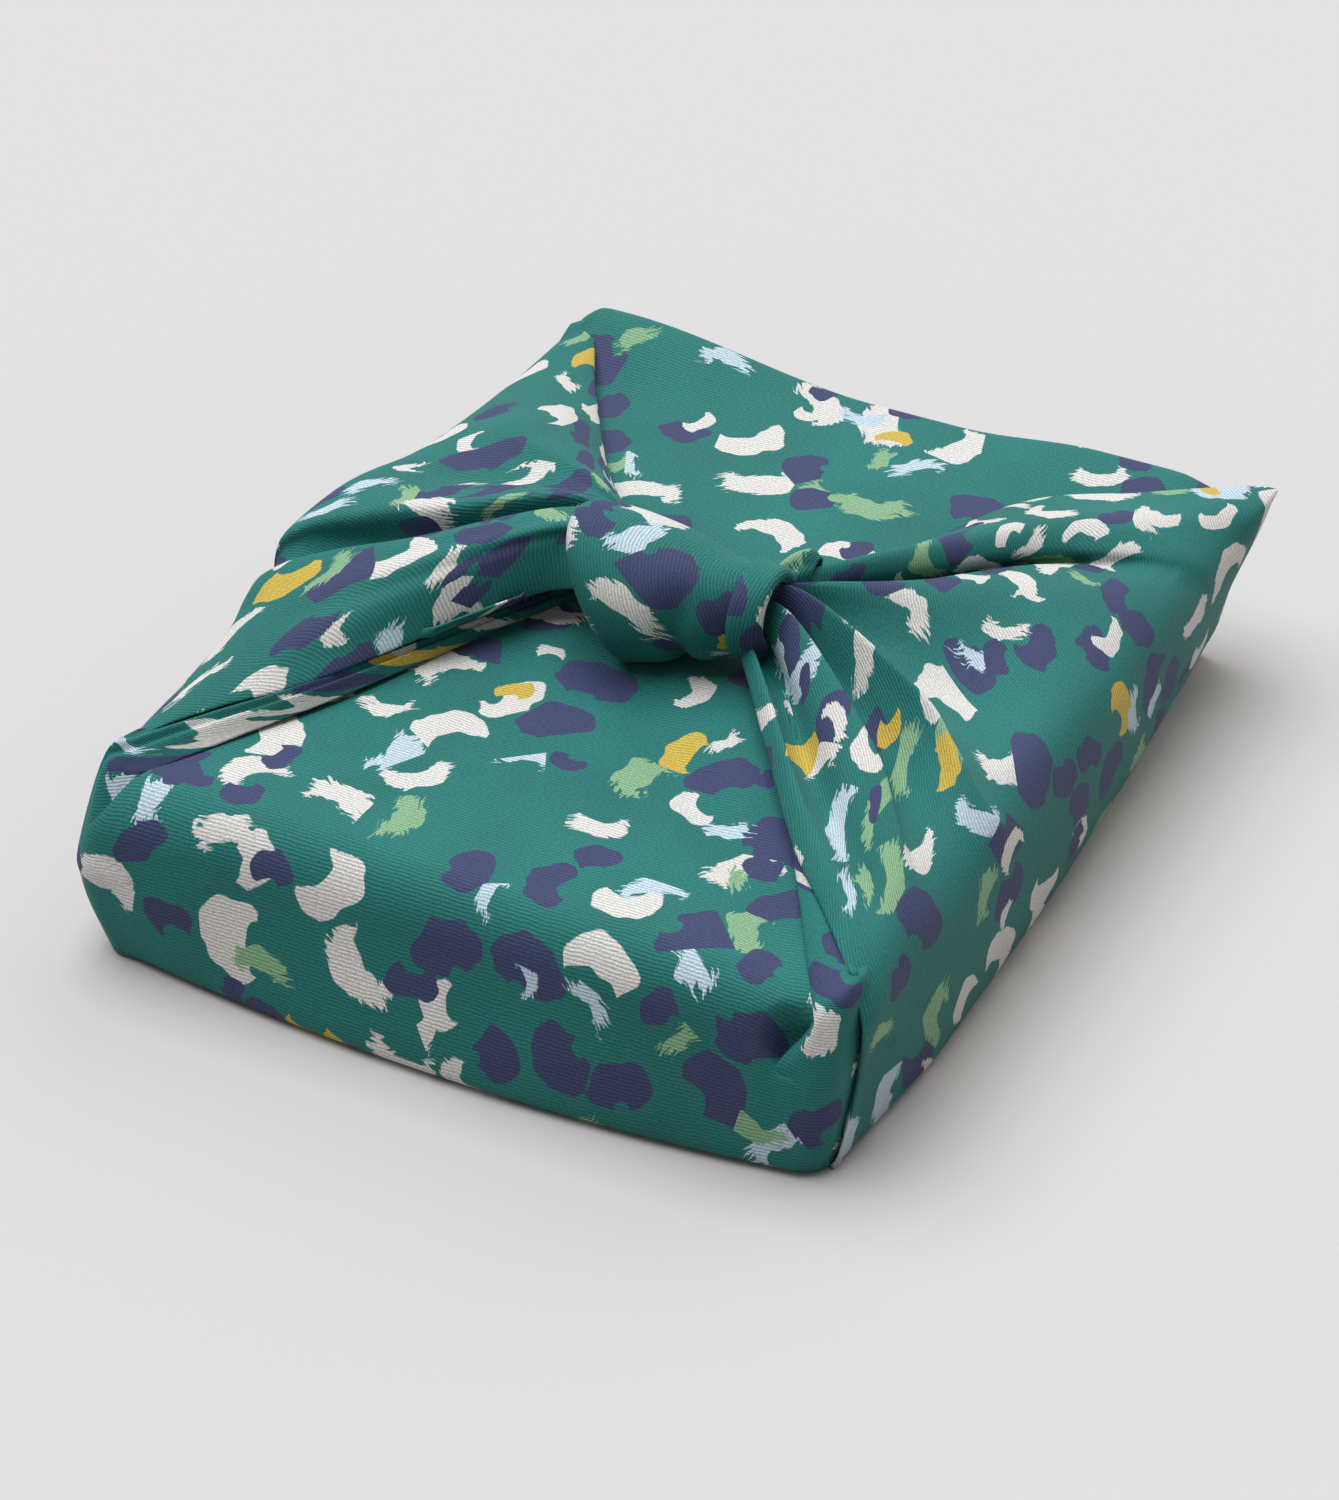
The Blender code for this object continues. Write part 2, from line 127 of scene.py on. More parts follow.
# Soft hollows in the near flap, drawn on the panel as x, y in MM, with their depth and half width
Hollow = namedtuple("Hollow", "depth half_width line")
PANEL_HOLLOWS = (
    Hollow(2.0, 7.0, ((-19, -17), (0, -32), (32, -63), (63, -92), (86, -123))),
    Hollow(0.9, 5.0, ((-36, -30), (-30, -60), (-34, -96))),
    Hollow(0.5, 6.0, ((-70, -95), (-20, -100), (30, -112))),
)

# Beside the near corners the near wall's cloth turns up into the first rolls of each gather. Its fold
# lines start on the belt, at a run from the belt's middle line, lifted out of it a little.
Turned = namedtuple("Turned", "run out rim_x rim_y rim_z mid_x mid_y mid_z neck_x neck_y neck_z")
LEFT_TURNED = (
    Turned(82, -0.6, -92, -117, 45.5, -64, -66, 49.0, -33, 2, 48.6),  # turned under
    Turned(89, 0.2, -97, -119.5, 47.0, -66.5, -69.0, 50.8, -33, 0, 49.5),  # near edge
    Turned(93, 0.6, -99.5, -118.5, 48.6, -67.3, -68.6, 52.8, -33, 1, 51.0),  # lower roll
    Turned(97, 0.6, -100.5, -116.5, 48.4, -68, -67.8, 51.8, -33, 2, 50.6),  # crease
    Turned(100.5, 1.1, -101, -114.8, 50.2, -68.8, -67.0, 53.6, -33, 3, 52.0),  # upper roll
    Turned(105, 1.3, -101, -112, 50.2, -69.5, -66, 52.8, -33, 4, 52.0),  # crease under the band
    Turned(114, 0.6, -99.5, -106, 50.0, -70, -61, 52.0, -33, 6, 51.0),  # and on under the band
)
RIGHT_TURNED = (
    Turned(84, -0.9, 89, -117.5, 39.0, 59.5, -68.5, 49.0, 26, -9, 50.5),  # turned under
    Turned(89, -0.4, 91.3, -122.6, 42.2, 60.5, -71.0, 50.2, 26.5, -10, 51.0),  # near edge
    Turned(94, 0.2, 94.0, -121.0, 44.8, 61.5, -70.0, 51.4, 27, -9.5, 52.0),  # roll
    Turned(99, 0.9, 96.4, -118.6, 46.2, 62.5, -69.0, 51.5, 27.5, -9, 52.5),  # its far flank
    Turned(106, 1.6, 97.6, -115.2, 47.2, 63.5, -67.5, 51.0, 28, -8, 52.0),  # crease
    Turned(116, 0.9, 98.4, -108, 47.3, 65, -63, 50.5, 29, -6, 51.5),  # and on under its neighbour
)
TURNED_SLANT = 1.0       # over the rim its ribs turn down across it by this slope
TURNED_RISES = (0.50, 0.80)  # how far its lines have climbed just past the rim and halfway
TURNED_ROOT = (0.6, 0.4)  # their ends in the knot, as shares of the root's half width
TURNED_HEIGHTS = (0.0065, 0.014, 0.021, 0.029)

Fold = namedtuple(
    "Fold",
    "foot_y rim_x rim_y rim_z mid_x mid_y mid_z neck_x neck_y neck_z pull crisp",
    defaults=(0.5, 0.0),
)
LEFT_FOLDS = (
    Fold(-120, -101, -111, 51.0, -69, -67.5, 53.6, -36, -13.5, 57.5, 0.85),  # lower edge of the band
    Fold(-110, -101, -100, 52.5, -69, -61, 57.5, -35.5, -11.5, 62.0),  # foot of its face
    Fold(-88, -101, -83, 54.0, -68, -51, 63.5, -34.5, -7, 68.0),  # its face
    Fold(-58, -101, -60, 57.0, -68, -38, 68.5, -32, -3, 72.5),  # crest of the band
    Fold(-46, -102, -49, 60.8, -69, -27, 69.5, -34, 3, 72.5),  # lip at its back
    Fold(-41, -102.5, -43, 61.8, -69.5, -22, 68.0, -34.5, 6, 71.5),  # edge of the lip
    Fold(-38, -102, -40.5, 60.5, -69.5, -23.5, 61.5, -35.5, 6.5, 66.5),  # under the lip
    Fold(-34, -102, -36, 59.5, -70, -14, 55.0, -37, 9.5, 63.5),  # deep valley
    Fold(-28, -102.5, -32, 62.5, -71, -5.5, 57.5, -37.5, 11.5, 64.0),  # under the second ridge
    Fold(-24, -103, -28.5, 66.5, -72, -3.5, 67.0, -38, 12, 70.5),  # second ridge
    Fold(4, -103, 0, 64.5, -76, 14, 62.5, -40, 18, 67.0),  # its long back
    Fold(26, -101, 28, 58.5, -75, 26, 60.0, -41, 22, 63.0),  # soft valley
    Fold(50, -101, 52, 55.0, -74, 42, 63.5, -43, 29, 64.5),  # third ridge
    Fold(85, -101, 88, 51.5, -77, 68, 57.0, -45, 37, 59.0),  # far roll
    Fold(115, -99.5, 128, 52.0, -74, 84, 51.5, -47, 44, 53.0),  # far edge
)
RIGHT_FOLDS = (
    Fold(-120, 98.0, -114.5, 48.2, 61, -73, 52.3, 20, -16, 54.0, 0.94),  # edge over the corner's roll
    Fold(-115, 99.6, -109.5, 50.2, 63, -68, 56.3, 22, -14, 58.5, 0.80),  # first pleat
    Fold(-110, 99.7, -101, 50.8, 65.5, -62, 52.8, 25.5, -12.5, 52.5, 0.60),  # crease behind it
    Fold(-97, 99, -92, 51.8, 65, -51, 58.5, 26, -9, 61.0),  # second pleat
    Fold(-84, 98.5, -82, 52.0, 66, -40, 61.5, 26.5, -5.0, 66.0),  # its crisp edge
    Fold(-76, 98.3, -76, 51.5, 65, -41, 56.5, 28, -5.5, 61.5),  # under that edge
    Fold(-62, 98.5, -66, 50.5, 66, -32.5, 54.0, 29, -4, 59.5),  # hollow
    Fold(-47, 99, -53, 51.5, 68.5, -25.5, 60.5, 28, -2, 66.0),  # near flank of the ridge
    Fold(-34, 99, -44, 54.0, 69.5, -21.5, 66.0, 27.5, 0, 69.5),  # crisp ridge
    Fold(-24, 99, -37, 52.0, 68.5, -20, 60.0, 28.5, 1.5, 65.0),  # under it
    Fold(-4, 100, -18, 50.2, 68, 1, 51.8, 30, 3.5, 60.5),  # deep hollow
    Fold(45, 99, 48, 51.5, 66, 31, 61.0, 28.5, 6.5, 68.0),  # broad roll
    Fold(80, 99, 68, 50.8, 63, 49, 58.0, 28.5, 11, 62.0),  # its far flank
    Fold(94, 98.5, 80, 50.0, 60.5, 59.5, 52.5, 27, 13.5, 57.5),  # sharp valley
    Fold(101, 99.3, 88, 51.2, 61, 56.5, 57.5, 27, 12.5, 64.0),  # edge over the valley
    Fold(108, 100, 103, 51.8, 60, 65, 61.5, 27, 17, 67.0),  # upper roll
    Fold(113, 101.5, 116.5, 51.2, 54, 76, 57.0, 26, 21, 62.0, 0.5, 0.6),  # line to the far corner
    Fold(118, 101, 126, 50.8, 46, 86, 51.5, 25, 26, 55.0, 0.5, 0.9),  # far edge
)
Root = namedtuple("Root", "x y z half_y")
LEFT_ROOT = Root(-13, -7.5, 64, 14.5)
RIGHT_ROOT = Root(12, -3.5, 63, 8)
ROOT_RELIEF = 0.12
FOOT_INSET = 0.0010
LIP_LIFT = 0.0004
LIP_DEPTH = 0.0090
LIP_Y_SHARE = 0.95
CLEAR_TOP = 0.0490       # over the box no point of a gather lies lower
CLEAR_MARGIN = 0.004
CLEAR_FROM = 0.030
WALL_STATIONS = ((0.008, 0.2), (0.024, 1.0))   # height, and the share of a fold's pull there
SHOULDER_OUT = 0.0015
SHOULDER_DROP = 0.0090
CRISP_SHOULDER = 0.55
HALFWAY_RISE = 0.0010
INNER_RIM_SHARE = 0.14
FOLD_STEPS = 5
# faces between two stations, from the lip under the box to the knot, and from the foot of the wall
PATH_STEPS = (3, 3, 5, 8, 8, 11, 16, 17, 10)
TURNED_STEPS = (3, 3, 3, 5, 6, 9, 14, 15, 10)
EDGE_TUCK = 0.0040       # the edges' cloth is turned under by this at most
EDGE_TUCK_SHARE = 0.40   # and by this share of the way to the next fold
EDGE_DROP = 0.0018       # and lies lower by this

# Creases are pressed in along a gather: at a fold number, between two stations, half width in folds
Crease = namedtuple("Crease", "fold start end half_width depth")
LEFT_CREASES = (
    Crease(2.5, 5.5, 8.6, 0.20, 1.0),
    Crease(3.5, 6.2, 8.7, 0.14, 0.8),
    Crease(9.5, 6.0, 8.6, 0.16, 1.2),
    Crease(10.5, 5.0, 8.5, 0.16, 1.0),
    Crease(11.6, 6.3, 8.7, 0.14, 1.0),
    Crease(12.5, 6.8, 8.8, 0.16, 1.2),
)
RIGHT_CREASES = (
    Crease(2.0, 7.1, 8.9, 0.34, 2.2),
    Crease(1.4, 6.6, 8.8, 0.30, 1.6),
    Crease(2.4, 7.0, 8.8, 0.14, 0.6),
    Crease(9.4, 6.2, 8.8, 0.12, 0.8),
    Crease(9.75, 6.8, 8.9, 0.08, 0.7),
    Crease(10.5, 6.6, 8.8, 0.12, 0.6),
)

# The knot: a row for each section
Section = namedtuple("Section", "x y z half_y half_z lean", defaults=(0.0,))
BULB = (
    Section(-23.5, -4, 60, 8, 10, 0.55),
    Section(-22.5, -5, 60, 14, 16.5, 0.55),
    Section(-18.5, -6.5, 60.5, 17.5, 19.8, 0.55),
    Section(-12.5, -7, 62, 18.5, 18.7, 0.46),
    Section(-5.5, -7.5, 63, 18, 17, 0.34),
    Section(2, -7, 63, 16.5, 15.3, 0.20),
    Section(9, -6, 62.5, 14.3, 13, 0.10),
    Section(15, -4, 62.5, 11.5, 11.2),
    Section(19, -3.0, 62.5, 9.5, 9.5),
    Section(22, -3.0, 62.5, 7, 7),
)
COLLAR = (
    Section(15.6, -4, 62.5, 9.5, 9.5),
    Section(14.9, -4, 62.5, 11.4, 11.2),
    Section(15.8, -4, 62.5, 12.6, 12.3),
    Section(18.0, -3.8, 62.6, 12.5, 12.3),
    Section(20.6, -3.4, 62.8, 12.0, 11.9),
    Section(22.6, -3, 63, 11.0, 11.0),
    Section(23.4, -3, 63, 9.4, 9.4),
    Section(22.4, -3, 63, 7.5, 7.5),
)
TUFT = (
    Section(15, 6, 62, 3, 3),
    Section(17, 8, 64, 5.2, 4.2),
    Section(20, 10.5, 66, 6.2, 4.6),
    Section(23, 12.5, 67, 5.5, 4.0),
    Section(25.5, 14, 66.5, 3, 2.4),
)
RING_STEPS = 80
PRINT_START = 32         # the point of a ring that faces near and up
SECTION_STEPS = 8
REST_GAP = 0.0007
REST_SOFTNESS = 0.0012


def smoothstep(low, high, value):
    """3t^2 - 2t^3 of the value's place t between low and high."""
    t = np.clip((value - low) / (high - low), 0.0, 1.0)
    return t * t * (3.0 - 2.0 * t)


def bell(distance, half_width):
    """A soft bump, exp(-(distance / half_width)^2)."""
    return np.exp(-((distance / half_width) ** 2))


def spline(points, at):
    """Catmull-Rom curve through points[0..n] along axis 0, read at the parameters at, from 0 to n."""
    points = np.asarray(points, float)
    at = np.asarray(at, float)
    before = np.concatenate([2 * points[:1] - points[1:2], points[:-1]])
    after = np.concatenate([points[1:], 2 * points[-1:] - points[-2:-1]])
    tangent = (after - before) / 2.0
    i = np.clip(at.astype(int), 0, len(points) - 2)
    t = (at - i).reshape((-1,) + (1,) * (points.ndim - 1))
    return (
        (2 * t**3 - 3 * t**2 + 1) * points[i]
        + (t**3 - 2 * t**2 + t) * tangent[i]
        + (3 * t**2 - 2 * t**3) * points[i + 1]
        + (t**3 - t**2) * tangent[i + 1]
    )


def run_lengths(grid, axis):
    """The running length of a grid's lines along an axis, from 0 at their start."""
    steps = np.linalg.norm(np.diff(grid, axis=axis), axis=-1)
    total = np.cumsum(steps, axis=axis)
    start = np.zeros_like(np.take(total, [0], axis=axis))
    return np.concatenate([start, total], axis=axis)


def grid_normals(grid):
    """Unit normals of a grid: the cross product of its two directions."""
    down = np.gradient(grid, axis=0)
    across = np.gradient(grid, axis=1)
    normal = np.cross(across, down)
    return normal / np.maximum(np.linalg.norm(normal, axis=-1, keepdims=True), 1e-9)


def line_distance(x, y, line):
    """How far each point lies from a line of straight runs, in the plan."""
    line = np.array(line, float) * MM
    nearest = np.full(np.broadcast(x, y).shape, np.inf)
    for start, end in zip(line[:-1], line[1:]):
        along = end - start
        t = ((x - start[0]) * along[0] + (y - start[1]) * along[1]) / (along @ along)
        t = np.clip(t, 0.0, 1.0)
        gap = np.hypot(x - start[0] - t * along[0], y - start[1] - t * along[1])
        nearest = np.minimum(nearest, gap)
    return nearest


def turned(uv, degrees, shift):
    """Cloth coordinates turned by an angle and shifted, so that each patch has its own print."""
    a = np.radians(degrees)
    turn = np.array([[np.cos(a), np.sin(a)], [-np.sin(a), np.cos(a)]])
    return uv @ turn + np.array(shift)


def wall_x(height, y, side):
    """How far out a side wall stands: from its foot in FEET out to the rim, bulged at half height."""
    feet = np.array(FEET, float) * MM
    left_foot = np.interp(y, feet[:, 0], feet[:, 1])
    right_foot = np.interp(y, feet[:, 0], feet[:, 2])
    rise = np.clip(height / PANEL_TOP, 0.0, 1.0)
    near_left = smoothstep(-0.06, -DEPTH / 2, y)
    left_bulge = WALL_BULGE + (LEFT_CORNER_BULGE - WALL_BULGE) * near_left
    right_bulge = WALL_BULGE * (1 - (y / (DEPTH / 2)) ** 2)
    foot = np.where(np.asarray(side) < 0, left_foot, right_foot)
    bulge = np.where(np.asarray(side) < 0, left_bulge, right_bulge)
    return foot + (WIDTH / 2 - foot) * rise**RISE_POWER + bulge * np.sin(np.pi * rise)


def belt_profile():
    """The belt's middle line in the Y-Z plane, from the far flap's end round to the near flap's end.

    Returns y, z and how flat each point lies: 0 on a wall, 1 on the top or the floor.
    """
    near, far = -DEPTH / 2, DEPTH / 2
    quarter = np.linspace(0.0, np.pi / 2, RIM_STEPS + 1)
    flat = smoothstep(0.0, np.pi / 2, quarter)
    lower = PANEL_TOP - CLOTH_THICK - LAYER_GAP
    far_y = np.linspace(FAR_FLAP_REACH, far - FAR_RIM_RADIUS, FAR_FLAP_POINTS)[:-1]
    far_z = lower + (PANEL_TOP - lower) * smoothstep(NEAR_FLAP_REACH, UPPER_FROM, far_y)
    far_wall = np.linspace(PANEL_TOP - FAR_RIM_RADIUS, FLOOR_RADIUS, WALL_POINTS)[1:-1]
    near_wall = np.linspace(FLOOR_RADIUS, PANEL_TOP - NEAR_RIM_RADIUS, WALL_POINTS)[1:-1]
    floor_y = np.linspace(far - FLOOR_RADIUS, near + FLOOR_RADIUS, FLOOR_POINTS)[1:-1]
    near_y = np.linspace(near + NEAR_RIM_RADIUS, NEAR_FLAP_REACH, NEAR_FLAP_POINTS)[1:]
    turned_in, risen = 1 - np.cos(quarter), 1 - np.sin(quarter)
    near_quarter = np.linspace(0.0, np.pi / 2, NEAR_RIM_STEPS + 1)
    near_in, near_risen = 1 - np.cos(near_quarter), 1 - np.sin(near_quarter)
    near_flat = smoothstep(0.0, np.pi / 2, near_quarter)
    runs = (
        (far_y, far_z, 1.0),
        (far - FAR_RIM_RADIUS * risen, PANEL_TOP - FAR_RIM_RADIUS * turned_in, flat[::-1]),
        (far, far_wall, 0.0),
        (far - FLOOR_RADIUS * turned_in, FLOOR_RADIUS * risen, flat),
        (floor_y, 0.0, 1.0),
        (near + FLOOR_RADIUS * risen, FLOOR_RADIUS * turned_in, flat[::-1]),
        (near, near_wall, 0.0),
        (near + NEAR_RIM_RADIUS * near_in, PANEL_TOP - NEAR_RIM_RADIUS * near_risen, near_flat),
        (near_y, PANEL_TOP, 1.0),
    )
    joined = [np.stack(np.broadcast_arrays(*run), -1).astype(float) for run in runs]
    return np.concatenate(joined).T


def belt_surface(y, z, flat, signed_run, least_wrap=LEAST_WRAP):
    """Points of the belt, from its profile (y, z and how flat it lies there, in columns) and the
    signed runs across it (in a row).

    On a wall x runs straight, then on an arc of CORNER_RADIUS, then stays while the point moves in by
    up to CORNER_WRAP. On the top and the floor the line across is straight, and the rims blend the two.
    """
    straight = WIDTH / 2 - BELT_INSET - CORNER_RADIUS
    arc = CORNER_RADIUS * np.pi / 2
    side, run = np.sign(signed_run), np.abs(signed_run)
    past_corner = np.clip((run - straight) / (arc + CORNER_WRAP), 0.0, 1.0)
    angle = np.clip((run - straight) / CORNER_RADIUS, 0.0, np.pi / 2)
    wall_x_shape = np.minimum(run, straight) + CORNER_RADIUS * np.sin(angle)
    rim_radius = np.where(y < 0, NEAR_RIM_RADIUS, FAR_RIM_RADIUS)
    mid_wall = smoothstep(0.0, WRAP_Z, z) * (1.0 - smoothstep(WRAP_Z, PANEL_TOP - rim_radius, z))
    wrap = np.clip(run - straight - arc, 0.0, None) * (least_wrap + (1.0 - least_wrap) * mid_wall)
    wall_in = CORNER_RADIUS * (1 - np.cos(angle)) + wrap
    wall_half = wall_x(z, y, side) - BELT_INSET
    spread = wall_half / (straight + CORNER_RADIUS)
    floor_half = wall_x(0.0, y, side) - FLOOR_INSET
    flat_half = np.where(z < PANEL_TOP / 2, floor_half, WIDTH / 2 - BELT_INSET)
    flat_straight = np.minimum(straight * spread, flat_half - FLOOR_RADIUS)
    flat_x = np.minimum(run / straight, 1.0) * flat_straight
    flat_x = flat_x + past_corner * (flat_half - flat_straight)
    x = side * (wall_x_shape * spread * (1 - flat) + flat_x * flat)
    inward = wall_in * (1.0 - smoothstep(FLOOR_RADIUS, CORNER_FADE, DEPTH / 2 - np.abs(y)))
    centre = 1.0 - (x / (WIDTH / 2)) ** 2
    foot = 1.0 - smoothstep(0.0, BOW_TOP, z)
    near_side = smoothstep(0.0, DEPTH / 2, -y)
    far_side = smoothstep(0.0, DEPTH / 2, y)
    half_height = np.sin(np.pi * np.clip(z / PANEL_TOP, 0.0, 1.0))
    left_corner = LEFT_CORNER_BULGE / 2 * smoothstep(0.05, 0.10, -x) * half_height
    near_shift = NEAR_BOW * centre * foot + left_corner
    far_shift = FAR_PULL * foot * (1 - centre) - FAR_BOW * centre * foot
    y = y - np.sign(y) * inward - near_side * near_shift - far_side * far_shift
    left_ear = LEFT_EAR * smoothstep(*LEFT_EAR_RISE, -x)
    right_ear = RIGHT_EAR * smoothstep(*RIGHT_EAR_RISE, x) * (1.0 - smoothstep(*RIGHT_EAR_END, x))
    drop = FLAP_DROP * smoothstep(*FLAP_DROP_RUN, np.abs(x))
    on_top = smoothstep(ON_TOP_FROM, PANEL_TOP, z)
    z = z + ((left_ear + right_ear) * smoothstep(EAR_FROM_Y, DEPTH / 2, y) - drop) * on_top
    return np.stack(np.broadcast_arrays(x, y, z), -1)


def belt_patch():
    """The belt: its profile carried across X, with hollows in the near panel and a pocket at the rim."""
    y, z, flat = (part[:, None] for part in belt_profile())
    profile_run = run_lengths(np.stack([y, z], -1), 0)
    straight = WIDTH / 2 - BELT_INSET - CORNER_RADIUS
    arc = CORNER_RADIUS * np.pi / 2
    coarse = np.linspace(0.0, FINE_FROM, STRAIGHT_STEPS + 1)[:-1]
    across = np.concatenate([coarse, np.linspace(FINE_FROM, straight, FINE_STEPS + 1)[:-1]])
    round_corner = straight + np.linspace(0.0, arc, CORNER_STEPS + 1)
    past = straight + arc + np.linspace(0.0, CORNER_WRAP, WRAP_STEPS + 1)[1:]
    half_run = np.concatenate([across, round_corner, past])
    signed_run = np.concatenate([-half_run[:0:-1], half_run])[None]
    grid = belt_surface(y, z, flat, signed_run)
    x, y, z = grid[..., 0], grid[..., 1], grid[..., 2]
    near_top = smoothstep(ON_TOP_FROM, PANEL_TOP, z) * (y < 0)
    for hollow in PANEL_HOLLOWS:
        dip = bell(line_distance(x, y, hollow.line), hollow.half_width * MM)
        z -= hollow.depth * MM * dip * near_top
    away = np.hypot((x - POCKET.x) / POCKET.half_x, (y + z - POCKET.place) / POCKET.half_run)
    pocket = np.exp(-(away**4)) * (y < POCKET_Y) * (z > POCKET_Z)
    y += POCKET.depth * pocket * POCKET_SINK[0]
    z -= POCKET.depth * pocket * POCKET_SINK[1]
    uv = np.stack(np.broadcast_arrays(signed_run, profile_run), -1)
    return grid, turned(uv, *BELT_PRINT)


def turned_patch(table, root, side):
    """The near wall's cloth where it turns up round the near corner into the first rolls of a gather.

    Its stations on the wall are points of the belt moved out from the corner's middle. Its print goes
    on from the belt's, with the run across and the length up from the floor.
    """
    rows = np.array(table, float) * MM
    run, out = side * rows[:, 0], rows[:, 1]
    rim, mid, neck = rows[:, 2:5], rows[:, 5:8], rows[:, 8:11]
    heights = np.array(TURNED_HEIGHTS)[:, None]
    near = np.full_like(heights, -DEPTH / 2)
    wall = belt_surface(near, heights, np.zeros_like(heights), run[None], least_wrap=1.0)
    corner = np.array([side * (WIDTH / 2 - 3 * CORNER_RADIUS), 3 * CORNER_RADIUS - DEPTH / 2])
    outward = wall[..., :2] - corner
    outward /= np.linalg.norm(outward, axis=-1, keepdims=True)
    wall[..., :2] += outward * out[None, :, None]
    foot = wall[0].copy()
    foot[:, :2] -= outward[0] * FLOOR_RADIUS * 0.5
    foot[:, 2] = LIP_LIFT
    inner_rim = rim + (mid - rim) * INNER_RIM_SHARE
    inner_rim[:, 2] = rim[:, 2] + (mid[:, 2] - rim[:, 2]) * TURNED_RISES[0]
    halfway = (rim + mid) / 2
    halfway[:, 2] = rim[:, 2] + (mid[:, 2] - rim[:, 2]) * TURNED_RISES[1]
    root_x, root_y, root_z, half_y = np.array(root, float) * MM
    y = root_y - half_y * np.linspace(*TURNED_ROOT, len(neck))
    z = root_z + (neck[:, 2] - root_z) * ROOT_RELIEF
    last = np.stack([np.full_like(y, root_x), y, z], -1)
    stations = np.concatenate([foot[None], wall, np.stack([rim, inner_rim, halfway, mid, neck, last])])
    at_station = steps_between(TURNED_STEPS)
    lines = spline(stations, at_station)
    at_fold = np.arange(0.0, lines.shape[1] - 1 + 0.5 / FOLD_STEPS, 1.0 / FOLD_STEPS)
    grid = spline(lines.transpose(1, 0, 2), at_fold)
    across = run_lengths(grid, 0) * side + run[0]
    slant = TURNED_SLANT * run_lengths(grid, 0) * smoothstep(3.5, 7.0, at_station)[None]
    up = run_lengths(grid, 1) + BELT_FLOOR_RUN + slant
    uv = turned(np.stack([across, up], -1), *BELT_PRINT)
    if side < 0:
        return grid, uv
    return grid[::-1], uv[::-1]


def steps_between(steps):
    """Parameters from 0 to the number of stretches, with that many faces in each."""
    parts = [i + np.arange(count) / count for i, count in enumerate(steps)]
    return np.concatenate(parts + [[len(steps)]])


def corner_round(y):
    """How far an upright corner's arc lies inside the side wall at y."""
    past = np.clip(np.abs(y) - (DEPTH / 2 - CORNER_RADIUS), 0.0, CORNER_RADIUS)
    return CORNER_RADIUS - np.sqrt(CORNER_RADIUS**2 - past**2)


def fold_lines(folds, root, side):
    """The stations of a gather: from under the box up the wall, over the rim and into the knot.
    A crisp fold turns over the rim more sharply: its two stations there lie nearer the rim."""
    table = np.array(folds, float) * MM
    foot_y, pull, crisp = table[:, 0], table[:, 10] / MM, table[:, 11] / MM
    rim, mid, neck = table[:, 1:4], table[:, 4:7], table[:, 7:10]
    foot_x = wall_x(0.0, foot_y, side) - FOOT_INSET - corner_round(foot_y)
    floor_z = np.full_like(foot_y, LIP_LIFT)
    stations = [
        np.stack([side * (foot_x - LIP_DEPTH), LIP_Y_SHARE * foot_y, floor_z], -1),
        np.stack([side * foot_x, foot_y, floor_z], -1),
    ]
    for height, share in WALL_STATIONS:
        y = foot_y + (rim[:, 1] - foot_y) * share * pull
        x = side * (wall_x(height, y, side) - corner_round(y))
        stations.append(np.stack([x, y, np.full_like(y, height)], -1))
    shoulder = rim.copy()
    on_side_wall = np.abs(rim[:, 0]) > WIDTH / 2 - CORNER_RADIUS
    wall = wall_x(PANEL_TOP - SHOULDER_DROP, rim[:, 1], side) * on_side_wall
    shoulder[:, 0] = side * np.maximum(np.abs(rim[:, 0]) + SHOULDER_OUT, wall)
    shoulder[:, 1] += (1.0 - pull) / 2 * (foot_y - rim[:, 1])
    shoulder[:, 2] = rim[:, 2] - SHOULDER_DROP * (1.0 - CRISP_SHOULDER * crisp)
    stations.append(shoulder)
    inner_rim = rim + (mid - rim) * (INNER_RIM_SHARE * (1.0 - crisp))[:, None]
    inner_rim[:, 2] = np.maximum(rim[:, 2], CLEAR_TOP)
    stations.append(inner_rim)
    halfway = (rim + mid) / 2
    halfway[:, 2] = np.maximum(halfway[:, 2] + HALFWAY_RISE, CLEAR_TOP)
    stations.append(halfway)
    stations.append(mid)
    stations.append(neck)
    root_x, root_y, root_z, half_y = np.array(root, float) * MM
    y = root_y + half_y * np.linspace(-1.0, 1.0, len(neck))
    z = root_z + (neck[:, 2] - root_z) * ROOT_RELIEF
    stations.append(np.stack([np.full_like(y, root_x), y, z], -1))
    return np.array(stations)


def tucked_edge(lines, at_station, edge, inner, facing):
    """One more line beside an edge line: moved in over its neighbour's side and then lowered, along
    the normal that points out, up and to the near (-1) or the far (1) side."""
    across = lines[:, inner] - lines[:, edge]
    apart = np.linalg.norm(across, axis=-1, keepdims=True)
    across /= apart
    down = np.gradient(lines[:, edge], axis=0)
    normal = np.cross(across, down)
    normal /= np.linalg.norm(normal, axis=-1, keepdims=True)
    sideways = np.sign(lines[:, edge, :1]) * normal[:, :1]
    outward = np.sign(normal[:, 2:3] + sideways + 0.8 * facing * normal[:, 1:2])
    tuck = np.minimum(EDGE_TUCK, EDGE_TUCK_SHARE * apart)
    drop = EDGE_DROP * smoothstep(1.0, 2.5, at_station)[:, None]
    line = lines[:, edge] + across * tuck - normal * outward * drop
    return line[:, None]


